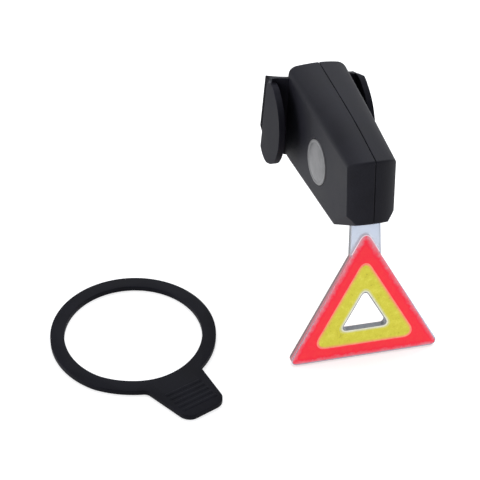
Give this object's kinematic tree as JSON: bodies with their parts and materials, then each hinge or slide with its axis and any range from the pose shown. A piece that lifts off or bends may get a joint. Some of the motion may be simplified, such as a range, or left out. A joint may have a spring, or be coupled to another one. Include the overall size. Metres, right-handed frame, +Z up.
{
  "type": "bicycle tail light",
  "caption": "Bicycle tail light with a two-part battery housing, a hanging triangular light guide, a seat post saddle with hook ears and a loose rubber strap.",
  "frame": {"origin": "on the axis of the seat post, at the middle height of the saddle's lower part, 12 mm below the top of its rubber pad", "axes": "+Z up along the seat post, -Y the way the light shines, +X to the light's left as it rides, which is the right of the picture"},
  "size_m": [0.1239, 0.0951, 0.0729],
  "materials": {
    "housing_plastic": "fine moulded texture, black",
    "bracket_plastic": "fine moulded texture, black",
    "seam_rubber": "black",
    "clear_acrylic": "polished clear plate with a faint blue cast",
    "screw_steel": "zinc plated",
    "button_rubber": "translucent grey silicone",
    "switch_plastic": "black",
    "board_laminate": "green solder mask",
    "chip_black": "black",
    "led_resin": "red tinted resin",
    "wire_jacket": "red",
    "cell_jacket": "plain printed sleeve",
    "tray_plastic": "black",
    "contact_metal": "nickel plated spring strip",
    "pad_rubber": "black with fine grip ribs",
    "strap_rubber": "black, slightly dusty",
    "red_ink": "translucent red print, glowing",
    "yellow_ink": "translucent yellow print, glowing"
  },
  "bodies": {
    "housing": {"left_shell": "housing_plastic", "right_shell": "housing_plastic", "seam_gasket": "seam_rubber", "light_guide": "clear_acrylic", "guide_pin": "screw_steel", "stem_seal": "seam_rubber", "switch_body": "switch_plastic", "main_board": "board_laminate", "controller_chip": "chip_black", "chip_resistors": "chip_black", "led_board": "board_laminate", "leds": "led_resin", "lead_wires": "wire_jacket", "cell_upper": "cell_jacket", "cell_lower": "cell_jacket", "battery_tray": "tray_plastic", "front_contact": "contact_metal", "rear_contact_upper": "contact_metal", "rear_contact_lower": "contact_metal", "mount_bracket": "bracket_plastic", "saddle_pad": "pad_rubber", "red_print": "red_ink", "red_print_back": "red_ink", "yellow_print": "yellow_ink", "yellow_print_back": "yellow_ink", "shell_screws": "screw_steel", "bracket_screws": "screw_steel"},
    "button": {"button_cap": "button_rubber", "switch_plunger": "switch_plastic"},
    "strap": {"strap": "strap_rubber"}
  },
  "joints": [
    {"name": "button_press", "type": "slide", "parent": "housing", "child": "button", "axis": [0.999, 0.0436, 0], "range_m": [0, 0.0005], "stiffness_N_per_m": 800, "springref_m": -0.0005},
    {"name": "strap_lift", "type": "slide", "parent": "housing", "child": "strap", "axis": [0, 0, 1], "range_m": [0, 0.06]}
  ]
}
